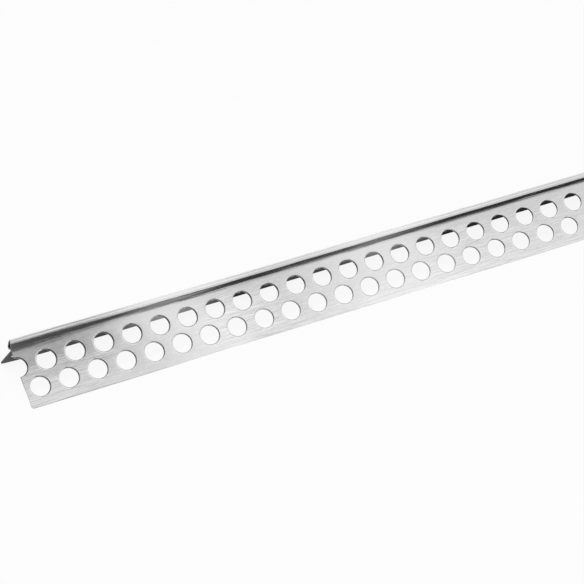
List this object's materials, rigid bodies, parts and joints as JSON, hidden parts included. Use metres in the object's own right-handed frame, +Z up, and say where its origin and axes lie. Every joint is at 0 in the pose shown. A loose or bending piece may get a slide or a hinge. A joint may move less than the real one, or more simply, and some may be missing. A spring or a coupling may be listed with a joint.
{
  "type": "edge protection profile",
  "caption": "Roll-formed aluminium edge profile with a long and a short perforated leg at about a right angle and a hollow bead standing proud along the corner.",
  "frame": {"origin": "middle of the footprint, on the floor that the free edges of both legs stand on", "axes": "+X along the bar, +Y from the long leg to the short leg, +Z up through the bead"},
  "size_m": [1, 0.0278, 0.0162],
  "materials": {
    "aluminium": "mill finish, finely brushed along its length"
  },
  "bodies": {
    "root": {"profile": "aluminium"}
  },
  "joints": []
}
